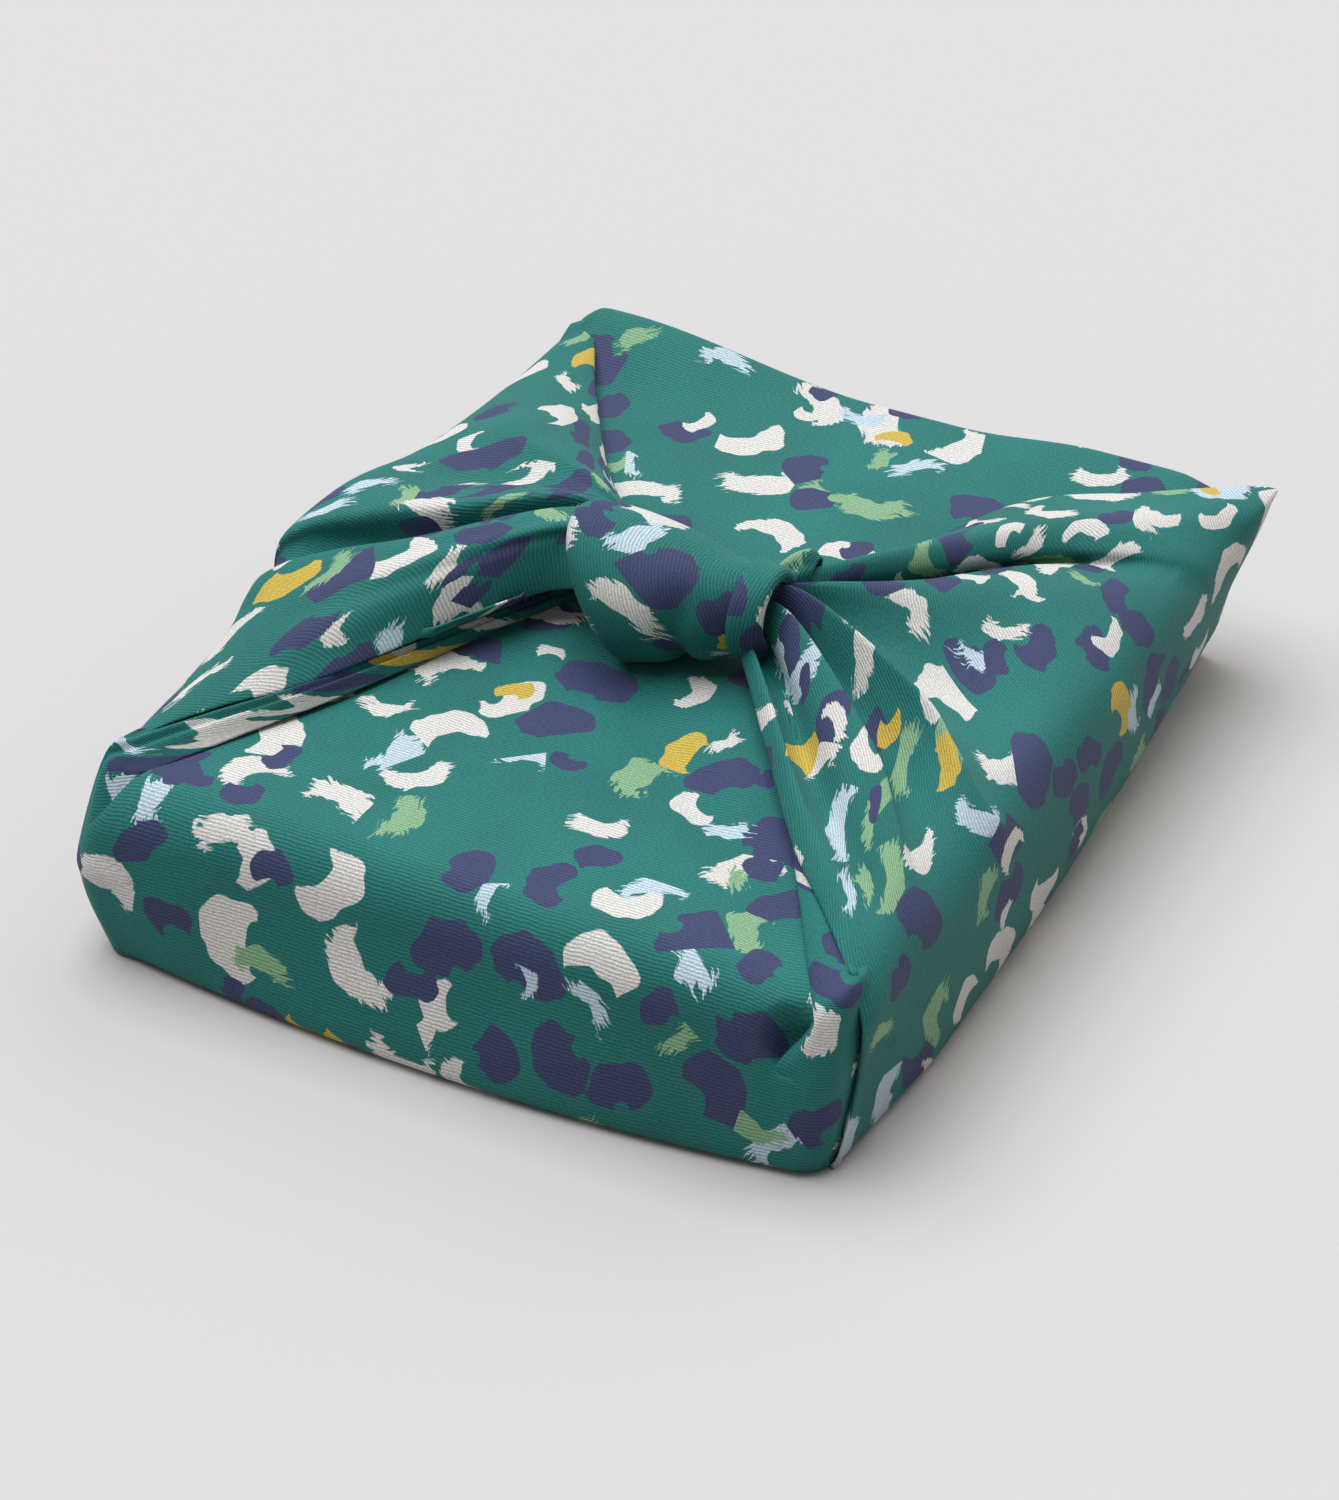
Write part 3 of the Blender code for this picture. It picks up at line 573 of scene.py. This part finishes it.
def gather_patch(folds, root, side, creases, degrees, shift):
    """A gather with its wall: the cloth is the curve through the fold lines at each station, with
    both edges turned under and narrow creases pressed in along it."""
    stations = fold_lines(folds, root, side)
    at_station = steps_between(PATH_STEPS)
    lines = spline(stations, at_station)
    first = tucked_edge(lines, at_station, 0, 1, -1)
    last = tucked_edge(lines, at_station, -1, -2, 1)
    lines = np.concatenate([first, lines, last], axis=1)
    at_fold = np.arange(0.0, lines.shape[1] - 1 + 0.5 / FOLD_STEPS, 1.0 / FOLD_STEPS)
    grid = spline(lines.transpose(1, 0, 2), at_fold)
    normal = grid_normals(grid)
    normal *= np.sign(normal[..., 2:3].mean())
    fold, station = at_fold[:, None] - 1.0, at_station[None]
    for crease in creases:
        window = smoothstep(crease.start, crease.start + 1.0, station)
        window = window * (1.0 - smoothstep(crease.end - 0.6, crease.end, station))
        pressed = bell(fold - crease.fold, crease.half_width) * window * crease.depth * MM
        grid = grid - normal * pressed[..., None]
    grid[..., 2] = np.maximum(grid[..., 2], LIP_LIFT)
    height = grid[..., 2]
    over_box = (np.abs(grid[..., 0]) < WIDTH / 2 - CLEAR_MARGIN) & (height > CLEAR_FROM)
    grid[..., 2] = np.where(over_box, np.maximum(height, CLEAR_TOP), height)
    along = run_lengths(grid, 1)
    across = run_lengths(grid, 0)
    across = across - across[len(across) // 2]
    uv = turned(np.stack([along, across], -1), degrees, shift)
    if side < 0:
        return grid, uv
    return grid[::-1], uv[::-1]


def rings(sections, steps):
    """Oval rings through the sections: centre x, y, z, the two half sizes and the lean at each ring."""
    table = np.array(sections, float) * np.array((MM, MM, MM, MM, MM, 1.0))
    at = np.arange(0.0, len(table) - 1 + 0.5 / steps, 1.0 / steps)
    return (column[:, None] for column in spline(table, at).T)


def rested(z):
    """Heights lifted over the panel along the soft maximum s log(1 + exp(z / s))."""
    lowest = PANEL_TOP + REST_GAP
    return lowest + np.logaddexp(0.0, (z - lowest) / REST_SOFTNESS) * REST_SOFTNESS


def ring_patch(x, y, z, half_y, half_z, lean, shape, degrees, shift):
    """Rings as a closed tube. lean moves a ring's points along X by that share of their height over
    its middle, and shape is a factor on the radius at each point. The print's first coordinate runs
    round the rings, both ways from PRINT_START, and its second along them."""
    angle = np.linspace(0.0, 2 * np.pi, RING_STEPS + 1)[None]
    ring_y = y + half_y * np.cos(angle) * shape
    ring_z = rested(z + half_z * np.sin(angle) * shape)
    x = x - lean * (ring_z - z)
    grid = np.stack(np.broadcast_arrays(x, ring_y, ring_z), -1)
    round_ring = run_lengths(grid, 1)
    round_ring -= round_ring[:, PRINT_START, None]
    uv = np.stack([round_ring, run_lengths(grid, 0)], -1)
    return grid, turned(uv, degrees, shift)


def bulb_patch():
    """The knot's bulb: its rings, with a trough over the right half and shallow diagonal folds."""
    x, y, z, half_y, half_z, lean = rings(BULB, SECTION_STEPS)
    angle = np.linspace(0.0, 2 * np.pi, RING_STEPS + 1)[None]
    facing = np.cos(angle - np.radians(215))
    trough_x = 0.0035 + 0.003 * np.sin(angle)
    trough = 0.17 * bell(x - trough_x, 0.0036) * smoothstep(-0.1, 0.8, facing)
    swirl = 0.016 * np.sin(3.0 * angle + x / 0.006) * smoothstep(-0.03, -0.015, x)
    return ring_patch(x, y, z, half_y, half_z, lean, 1.0 - trough + swirl, 0.0, (0.07, 0.41))


def collar_patch():
    """The band round the knot's right end, with soft pleats along it."""
    x, y, z, half_y, half_z, lean = rings(COLLAR, SECTION_STEPS)
    angle = np.linspace(0.0, 2 * np.pi, RING_STEPS + 1)[None]
    pleats = 0.012 * np.sin((x - 0.014) / 0.0016 + 0.8 * np.sin(angle))
    return ring_patch(x, y, z, half_y, half_z, lean, 1.0 + pleats, 4.0, (0.23, 0.09))


def tuft_patch():
    """The short end that stands out of the collar's far side: a small twisted tube."""
    x, y, z, half_y, half_z, lean = rings(TUFT, SECTION_STEPS)
    angle = np.linspace(0.0, 2 * np.pi, RING_STEPS + 1)[None]
    twist = 0.16 * np.sin(3.0 * angle + x / 0.0022)
    return ring_patch(x, y, z, half_y, half_z, lean, 1.0 + twist, 30.0, (0.155, 0.335))


def patch_faces(rows, columns, wrapped, first_point, first_uv):
    """Quads of a grid as point numbers and as numbers of its print coordinates."""
    row = np.arange(rows - 1)[:, None]
    column = np.arange(columns - 1)[None]
    width = columns - 1 if wrapped else columns
    corners = ((row, column), (row, column + 1), (row + 1, column + 1), (row + 1, column))
    points = [first_point + r * width + (c % width) for r, c in corners]
    prints = [first_uv + r * columns + c for r, c in corners]
    stack = lambda parts: np.stack(np.broadcast_arrays(*parts), -1).reshape(-1, 4)
    return stack(points), stack(prints)


def cloth_mesh(name, patches):
    """One mesh of several grids, each given as (grid, uv, wrapped)."""
    points, prints, faces, face_prints = [], [], [], []
    for grid, uv, wrapped in patches:
        rows, columns = grid.shape[:2]
        first_point = sum(map(len, points))
        first_uv = sum(map(len, prints))
        quads, quad_prints = patch_faces(rows, columns, wrapped, first_point, first_uv)
        kept = grid[:, :-1] if wrapped else grid
        points.append(kept.reshape(-1, 3))
        prints.append(uv.reshape(-1, 2))
        faces.append(quads)
        face_prints.append(quad_prints)
    mesh = bpy.data.meshes.new(name)
    mesh.from_pydata(np.concatenate(points).tolist(), [], np.concatenate(faces).tolist())
    layer = mesh.uv_layers.new(name="print")
    all_prints = np.concatenate(prints)[np.concatenate(face_prints).reshape(-1)]
    layer.uv.foreach_set("vector", all_prints.astype(np.float32).ravel())
    mesh.shade_smooth()
    mesh.update()
    return mesh


def make_cloth():
    """The whole cloth as one object: its patches, given a thickness inwards from the outer face."""
    patches = [
        (*belt_patch(), False),
        (*turned_patch(LEFT_TURNED, LEFT_ROOT, -1), False),
        (*turned_patch(RIGHT_TURNED, RIGHT_ROOT, 1), False),
        (*gather_patch(LEFT_FOLDS, LEFT_ROOT, -1, LEFT_CREASES, 24.0, (0.05, 0.62)), False),
        (*gather_patch(RIGHT_FOLDS, RIGHT_ROOT, 1, RIGHT_CREASES, -22.0, (0.52, 0.55)), False),
        (*bulb_patch(), True),
        (*collar_patch(), True),
        (*tuft_patch(), True),
    ]
    cloth = bpy.data.objects.new("wrapping_cloth", cloth_mesh("wrapping_cloth", patches))
    bpy.context.scene.collection.objects.link(cloth)
    wall = cloth.modifiers.new("thickness", "SOLIDIFY")
    wall.thickness = CLOTH_THICK
    wall.offset = -1.0
    wall.use_even_offset = False
    return cloth


# Colours, linear
GREEN = (0.0080, 0.134, 0.119)
NAVY = (0.033, 0.043, 0.112)
OFF_WHITE = (0.55, 0.535, 0.51)
SAGE = (0.185, 0.34, 0.19)
MUSTARD = (0.47, 0.34, 0.052)
PALE_BLUE = (0.40, 0.50, 0.56)
CARD = (0.45, 0.32, 0.20)
FLOOR = (0.487, 0.472, 0.466)


class Nodes:
    """Short calls that add nodes to a tree and link them."""

    def __init__(self, tree):
        self.tree = tree

    def add(self, kind, inputs=(), **settings):
        """A new node with its settings, and its inputs fed by name or number."""
        node = self.tree.nodes.new(kind)
        for key, value in settings.items():
            setattr(node, key, value)
        for key, value in dict(inputs).items():
            self.feed(node.inputs[key], value)
        return node

    def feed(self, socket, value):
        """Links an output to the socket, or sets the socket to a plain value."""
        if isinstance(value, bpy.types.NodeSocket):
            self.tree.links.new(value, socket)
        else:
            socket.default_value = value

    def noise(self, vector, scale, detail, roughness=0.5):
        """Noise from 0 to 1, each octave of detail adding half the size and a share of the strength."""
        values = {"Vector": vector, "Scale": scale, "Detail": detail, "Roughness": roughness}
        return self.add("ShaderNodeTexNoise", values).outputs["Fac"]

    def math(self, operation, *values, clamp=False):
        node = self.add("ShaderNodeMath", operation=operation, use_clamp=clamp)
        for socket, value in zip(node.inputs, values):
            self.feed(socket, value)
        return node.outputs[0]

    def vector(self, operation, *values):
        node = self.add("ShaderNodeVectorMath", operation=operation)
        for socket, value in zip(node.inputs, values):
            self.feed(socket, value)
        return node.outputs["Value" if operation in ("LENGTH", "DOT_PRODUCT") else "Vector"]

    def length(self, first, second):
        """The square root of the sum of both squares."""
        squares = [self.math("POWER", value, 2.0) for value in (first, second)]
        return self.math("SQRT", self.math("ADD", *squares))

    def scaled(self, vector, factor):
        return self.add("ShaderNodeVectorMath", {0: vector, 3: factor}, operation="SCALE").outputs[0]

    def ramp(self, value, low, high, to_low=0.0, to_high=1.0):
        """The value mapped in a straight line from low..high to to_low..to_high, and held past them."""
        node = self.add("ShaderNodeMapRange")
        for key, number in zip((0, 1, 2, 3, 4), (value, low, high, to_low, to_high)):
            self.feed(node.inputs[key], number)
        return node.outputs[0]

    def palette(self, value, stops):
        """The colour of the last stop that starts at or under the value."""
        node = self.add("ShaderNodeValToRGB", {0: value})
        ramp = node.color_ramp
        ramp.interpolation = "CONSTANT"
        for place, _ in stops[2:]:
            ramp.elements.new(place)
        for element, (place, colour) in zip(ramp.elements, stops):
            element.position = place
            element.color = (*colour, 1.0)
        return node.outputs[0]

    def mix(self, factor, first, second):
        """first + (second - first) * factor, for colours."""
        node = self.add("ShaderNodeMix", data_type="RGBA")
        self.feed(node.inputs[0], factor)
        self.feed(node.inputs[6], first)
        self.feed(node.inputs[7], second)
        return node.outputs[2]


def new_group(name, inputs, outputs):
    """A shader node group with named sockets, given as (name, kind, default)."""
    group = bpy.data.node_groups.new(name, "ShaderNodeTree")
    for label, kind, default in inputs:
        socket = group.interface.new_socket(label, in_out="INPUT", socket_type="NodeSocket" + kind)
        if default is not None:
            socket.default_value = default
    for label, kind in outputs:
        group.interface.new_socket(label, in_out="OUTPUT", socket_type="NodeSocket" + kind)
    nodes = Nodes(group)
    return group, nodes, nodes.add("NodeGroupInput").outputs, nodes.add("NodeGroupOutput").inputs


def dab_group():
    """Brush dabs scattered on the cloth: one in some of the cells of a Voronoi pattern.

    A dab is the set of points within a radius of its middle, in a frame turned and stretched at random,
    less a bite out of one side. Streaks of noise along its length move its ends, more on the dabs with a
    dry brush's edge.
    """
    group, n, given, out = new_group(
        "brush dabs",
        (
            ("Print", "Vector", None),
            ("Cells", "Float", 40.0),
            ("Shift", "Vector", (0.0, 0.0, 0.0)),
            ("Share", "Float", 0.5),
            ("Size", "Float", 0.3),
            ("Stretch", "Float", 1.6),
            ("Bite", "Float", 0.6),
            ("Ragged", "Float", 0.1),
        ),
        (("Mask", "Float"), ("Pick", "Float")),
    )
    moved = n.vector("ADD", given["Print"], given["Shift"])
    scaled = n.scaled(moved, given["Cells"])
    soft = n.add("ShaderNodeTexNoise", {"Vector": scaled, "Scale": 2.3, "Detail": 1.0})
    cell = n.add(
        "ShaderNodeTexVoronoi",
        {"Vector": scaled, "Scale": 1.0, "Randomness": 0.8},
        voronoi_dimensions="2D",
    )
    chance = n.add("ShaderNodeSeparateColor", {0: cell.outputs["Color"]}).outputs
    soft_shift = n.vector("SUBTRACT", soft.outputs["Color"], (0.5, 0.5, 0.5))
    soft_shift = n.vector("MULTIPLY", soft_shift, (0.34, 0.34, 0.0))
    local = n.vector("ADD", n.vector("SUBTRACT", scaled, cell.outputs["Position"]), soft_shift)
    turn = n.math("MULTIPLY", chance[0], 37.7)
    local = n.add(
        "ShaderNodeVectorRotate", {"Vector": local, "Angle": turn}, rotation_type="Z_AXIS"
    ).outputs[0]
    stroke = n.vector("MULTIPLY", local, (3.5, 21.0, 0.0))
    stroke = n.vector("ADD", stroke, n.scaled(cell.outputs["Position"], 9.7))
    dry = n.noise(stroke, 1.0, 2.0, 0.6)
    ragged = n.math("MULTIPLY", given["Ragged"], n.ramp(chance[1], 0.55, 0.75, 0.10, 1.4))
    parts = n.add("ShaderNodeSeparateXYZ", {0: local}).outputs
    along = n.math("MULTIPLY", n.math("SUBTRACT", dry, 0.5), ragged)
    along = n.math("ADD", parts[0], along)
    radius = n.math("MULTIPLY", given["Size"], n.ramp(chance[2], 0.0, 1.0, 0.72, 1.2))
    body = n.math("SUBTRACT", radius, n.length(n.math("DIVIDE", along, given["Stretch"]), parts[1]))
    bite_y = n.math("SUBTRACT", parts[1], n.math("MULTIPLY", radius, 0.95))
    bite_size = n.math("MULTIPLY", given["Bite"], n.ramp(chance[1], 0.2, 0.6, 0.35, 1.15))
    bite = n.length(n.math("MULTIPLY", along, 0.8), bite_y)
    bite = n.math("SUBTRACT", bite, n.math("MULTIPLY", radius, bite_size))
    edge = n.math("MINIMUM", body, bite)
    shape = n.ramp(edge, -0.006, 0.006)
    there = n.math("LESS_THAN", n.math("FRACT", n.math("MULTIPLY", chance[0], 7.3)), given["Share"])
    n.feed(out["Mask"], n.math("MULTIPLY", shape, there))
    n.feed(out["Pick"], chance[1])
    return group


def twill_group():
    """Fine twill: rounded ribs along the print's first coordinate, uneven along their length, with grain.

    A rib's height is |sin| of its place across, less noise stretched along the rib. Shade is that same
    height, used as painted shade in the valleys between the ribs and a painted highlight on their crests.
    """
    group, n, given, out = new_group(
        "twill",
        (("Print", "Vector", None), ("Pitch", "Float", 0.001)),
        (("Height", "Float"), ("Shade", "Float"), ("Grain", "Float")),
    )
    wander = n.noise(given["Print"], 120.0, 2.0)
    parts = n.add("ShaderNodeSeparateXYZ", {0: given["Print"]}).outputs
    across = n.math("ADD", n.math("DIVIDE", parts[1], given["Pitch"]), n.math("MULTIPLY", wander, 1.3))
    rib = n.math("ABSOLUTE", n.math("SINE", n.math("MULTIPLY", across, np.pi)))
    threads = n.vector("MULTIPLY", given["Print"], (900.0, 2300.0, 0.0))
    uneven = n.noise(threads, 1.0, 1.0)
    rib = n.math("SUBTRACT", rib, n.ramp(uneven, 0.35, 0.75, 0.0, 0.6), clamp=True)
    grain = n.noise(given["Print"], 2400.0, 2.0, 0.7)
    n.feed(out["Height"], n.math("ADD", rib, n.math("MULTIPLY", grain, 0.7)))
    # Shade: the rib height again, for painted shade in the rib valleys and a painted highlight on the rib
    # crests
    n.feed(out["Shade"], rib)
    n.feed(out["Grain"], grain)
    return group


# The palette: from which chance on a dab takes each colour. The later ones have a drier brush's edge.
PALETTE = (
    (0.00, NAVY),
    (0.40, MUSTARD),
    (0.445, OFF_WHITE),
    (0.77, SAGE),
    (0.90, PALE_BLUE),
)
Dabs = namedtuple("Dabs", "cells shift share size stretch bite ragged")
PRINT = (
    Dabs(49.0, (0.11, 0.27, 0.0), 0.90, 0.34, 1.30, 0.78, 0.55),
    Dabs(60.0, (0.73, 0.41, 0.0), 0.42, 0.29, 1.30, 0.85, 0.60),
)


def cloth_material():
    """Printed cotton: a slightly uneven ground, two layers of dabs over it, the twill's ribs as painted
    shade and highlight and its grain of pale threads as a factor on the colour, and the ribs and grain
    together as its bump."""
    material = bpy.data.materials.new("printed_cotton")
    material.use_nodes = True
    n = Nodes(material.node_tree)
    shader = material.node_tree.nodes["Principled BSDF"]
    place = n.add("ShaderNodeUVMap", uv_map="print").outputs[0]
    dabs, twill = dab_group(), twill_group()
    tone = n.noise(place, 24.0, 2.0)
    deeper = tuple(0.90 * value for value in GREEN)
    lighter = tuple(1.10 * value for value in GREEN)
    colour = n.mix(n.ramp(tone, 0.3, 0.7), (*deeper, 1.0), (*lighter, 1.0))
    for layer in PRINT:
        dab = n.add("ShaderNodeGroup", node_tree=dabs)
        n.feed(dab.inputs["Print"], place)
        for key, value in layer._asdict().items():
            n.feed(dab.inputs[key.capitalize()], value)
        choice = n.palette(dab.outputs["Pick"], PALETTE)
        colour = n.mix(dab.outputs["Mask"], colour, choice)
    weave = n.add("ShaderNodeGroup", node_tree=twill)
    n.feed(weave.inputs["Print"], place)
    n.feed(weave.inputs["Pitch"], 0.00094)
    # painted shade in the rib valleys and painted highlight on the rib crests, then times the grain's
    # pale and dark threads
    shade = n.ramp(weave.outputs["Shade"], 0.0, 0.8, 0.72, 1.14)
    grain = n.ramp(weave.outputs["Grain"], 0.3, 0.75, 0.68, 1.50)
    shade = n.math("MULTIPLY", shade, grain)
    n.feed(shader.inputs["Base Color"], n.scaled(colour, shade))
    shader.inputs["Roughness"].default_value = 0.72
    shader.inputs["Sheen Weight"].default_value = 0.05
    shader.inputs["Sheen Roughness"].default_value = 0.4
    shader.inputs["Specular IOR Level"].default_value = 0.28
    relief = {"Height": weave.outputs["Height"], "Strength": 0.6, "Distance": 0.00020}
    bump = n.add("ShaderNodeBump", relief)
    n.feed(shader.inputs["Normal"], bump.outputs[0])
    return material


def card_material():
    """Brown card: fibres as stretched noise in its colour and its bump."""
    material = bpy.data.materials.new("brown_card")
    material.use_nodes = True
    n = Nodes(material.node_tree)
    shader = material.node_tree.nodes["Principled BSDF"]
    place = n.add("ShaderNodeTexCoord").outputs["Object"]
    mapped = n.add("ShaderNodeMapping", {"Vector": place, "Scale": (1.0, 6.0, 1.0)}).outputs[0]
    fibre = n.noise(mapped, 300.0, 4.0)
    darker = tuple(0.75 * value for value in CARD)
    n.feed(shader.inputs["Base Color"], n.mix(fibre, (*darker, 1.0), (*CARD, 1.0)))
    n.feed(shader.inputs["Roughness"], n.ramp(fibre, 0.2, 0.8, 0.75, 0.95))
    bump = n.add("ShaderNodeBump", {"Height": fibre, "Strength": 0.4, "Distance": 0.0002})
    n.feed(shader.inputs["Normal"], bump.outputs[0])
    return material


def floor_material():
    """A plain pale floor with a faint grain in its colour."""
    material = bpy.data.materials.new("pale_floor")
    material.use_nodes = True
    n = Nodes(material.node_tree)
    shader = material.node_tree.nodes["Principled BSDF"]
    place = n.add("ShaderNodeTexCoord").outputs["Object"]
    grain = n.noise(place, 400.0, 3.0)
    low = tuple(0.985 * value for value in FLOOR)
    n.feed(shader.inputs["Base Color"], n.mix(grain, (*low, 1.0), (*FLOOR, 1.0)))
    shader.inputs["Roughness"].default_value = 0.95
    shader.inputs["Specular IOR Level"].default_value = 0.1
    return material


def make_floor():
    """A wide plane just under the wrap."""
    bpy.ops.mesh.primitive_plane_add(size=8.0, location=(0.0, 0.0, -0.0002))
    floor = bpy.context.object
    floor.name = "floor"
    floor.data.materials.append(floor_material())


def soft_sun(name, towards, strength, spread, colour):
    """Parallel light from a wide disc of the sky, so that it is even over the floor and its shadows
    are soft. towards points from the wrap to the light, and spread is the disc's width in degrees."""
    data = bpy.data.lights.new(name, "SUN")
    data.energy = strength
    data.angle = np.radians(spread)
    data.color = colour
    light = bpy.data.objects.new(name, data)
    light.rotation_euler = (-Vector(towards)).to_track_quat("-Z", "Y").to_euler()
    bpy.context.scene.collection.objects.link(light)


def make_lights():
    """A wide window light from the upper left, a weaker one from behind, and a dim even sky."""
    soft_sun("window", (-0.32, 0.05, 0.94), 3.60, 60.0, (0.962, 0.992, 1.025))
    soft_sun("back window", (0.12, 0.78, 0.61), 1.20, 66.0, (1.0, 0.992, 0.985))
    world = bpy.data.worlds.new("studio")
    world.use_nodes = True
    sky = world.node_tree.nodes["Background"]
    sky.inputs["Color"].default_value = (1.02, 0.98, 0.94, 1.0)
    sky.inputs["Strength"].default_value = 0.31
    bpy.context.scene.world = world
    bpy.context.scene.view_settings.view_transform = "Standard"


def make_camera():
    """The camera looks at its target along the line given by its turn and tilt."""
    data = bpy.data.cameras.new("camera")
    data.sensor_fit = "VERTICAL"
    data.sensor_height = SENSOR
    data.lens = FOCAL_PIXELS / IMAGE_HEIGHT * SENSOR
    forward = Vector((
        -np.sin(CAMERA_TURN) * np.cos(CAMERA_TILT),
        np.cos(CAMERA_TURN) * np.cos(CAMERA_TILT),
        -np.sin(CAMERA_TILT),
    ))
    camera = bpy.data.objects.new("camera", data)
    camera.location = CAMERA_TARGET - forward * CAMERA_DISTANCE
    camera.rotation_euler = forward.to_track_quat("-Z", "Y").to_euler()
    bpy.context.scene.collection.objects.link(camera)
    bpy.context.scene.camera = camera


def main():
    cloth = make_cloth()
    cloth.data.materials.append(cloth_material())
    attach(cloth, "root")
    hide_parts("cloth")
    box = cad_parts["box"]
    box.data.materials.clear()
    box.data.materials.append(card_material())
    make_floor()
    make_lights()
    make_camera()


main()
